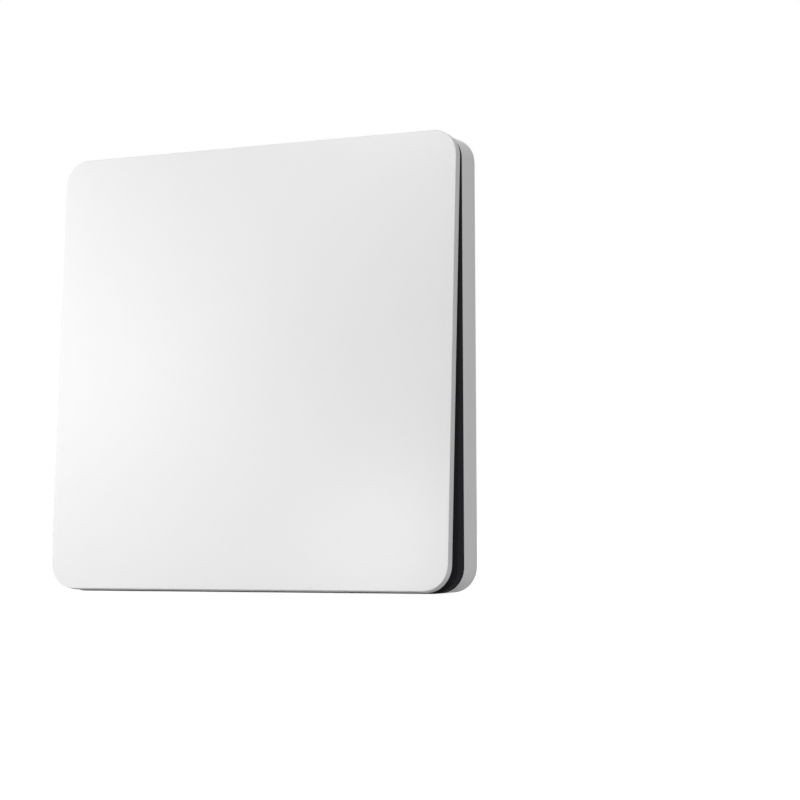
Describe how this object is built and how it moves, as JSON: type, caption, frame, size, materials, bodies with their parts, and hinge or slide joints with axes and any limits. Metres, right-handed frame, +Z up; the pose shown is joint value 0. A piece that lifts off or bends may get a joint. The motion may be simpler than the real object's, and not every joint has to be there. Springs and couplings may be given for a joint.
{
  "type": "wireless wall switch",
  "caption": "Square white wall switch with a tilted rocker panel hinged on a black wedge frame, over a screw-on base with a push-powered generator and radio board.",
  "frame": {"origin": "centre of the base's back face, on the wall plane", "axes": "+Y into the wall, +Z up, +X to the right as seen from the room; the front faces -Y"},
  "size_m": [0.086, 0.0141, 0.0864],
  "materials": {
    "white_panel_plastic": "satin white",
    "white_base_plastic": "satin white",
    "black_frame_plastic": "satin black",
    "bumper_rubber": "matt",
    "grey_tray_plastic": "satin grey",
    "carrier_plastic": "natural",
    "bobbin_plastic": "satin black",
    "copper_winding": "enamelled copper",
    "core_iron": "stamped",
    "magnet_nickel": "nickel plated",
    "spring_steel": "drawn",
    "pin_steel": "ground",
    "zinc_screw_steel": "zinc plated",
    "board_laminate": "solder mask",
    "chip_epoxy": "matt",
    "crystal_can": "satin",
    "capacitor_ceramic": "satin",
    "aerial_insulation": "satin"
  },
  "bodies": {
    "base": {"rear_base": "white_base_plastic", "inner_frame": "black_frame_plastic", "frame_screws": "zinc_screw_steel", "bumper_pads": "bumper_rubber", "generator_tray": "grey_tray_plastic", "tray_screws": "zinc_screw_steel", "iron_core": "core_iron", "core_screws": "zinc_screw_steel", "coil_bobbin": "bobbin_plastic", "coil_winding": "copper_winding", "coil_leads": "copper_winding", "pivot_pin_left": "pin_steel", "pivot_pin_right": "pin_steel", "return_spring_left": "spring_steel", "return_spring_right": "spring_steel", "circuit_board": "board_laminate", "board_screws": "zinc_screw_steel", "radio_chip": "chip_epoxy", "rectifier": "chip_epoxy", "crystal": "crystal_can", "storage_capacitor_left": "capacitor_ceramic", "storage_capacitor_right": "capacitor_ceramic", "aerial_wire": "aerial_insulation"},
    "rocker": {"rocker_panel": "white_panel_plastic"},
    "generator_lever": {"magnet_carrier": "carrier_plastic", "magnet": "magnet_nickel", "front_pole_plate": "core_iron", "rear_pole_plate": "core_iron", "lever_leaf": "spring_steel", "leaf_rivets": "pin_steel"}
  },
  "joints": [
    {"name": "rocker_press", "type": "hinge", "parent": "base", "child": "rocker", "pos_m": [0, -0.0056, 0.037], "axis": [1, 0, 0], "range_deg": [0, 1.8]},
    {"name": "lever_swing", "type": "hinge", "parent": "base", "child": "generator_lever", "pos_m": [0, -0.0045, -0.01], "axis": [1, 0, 0], "range_deg": [0, 6.5], "stiffness_Nm_per_rad": 0.3, "springref_deg": -6.3, "deforming": ["return_spring_left", "return_spring_right"]}
  ],
  "couplings": [
    {"joint": "lever_swing", "follows": "rocker_press", "ratio": 3.6111}
  ]
}
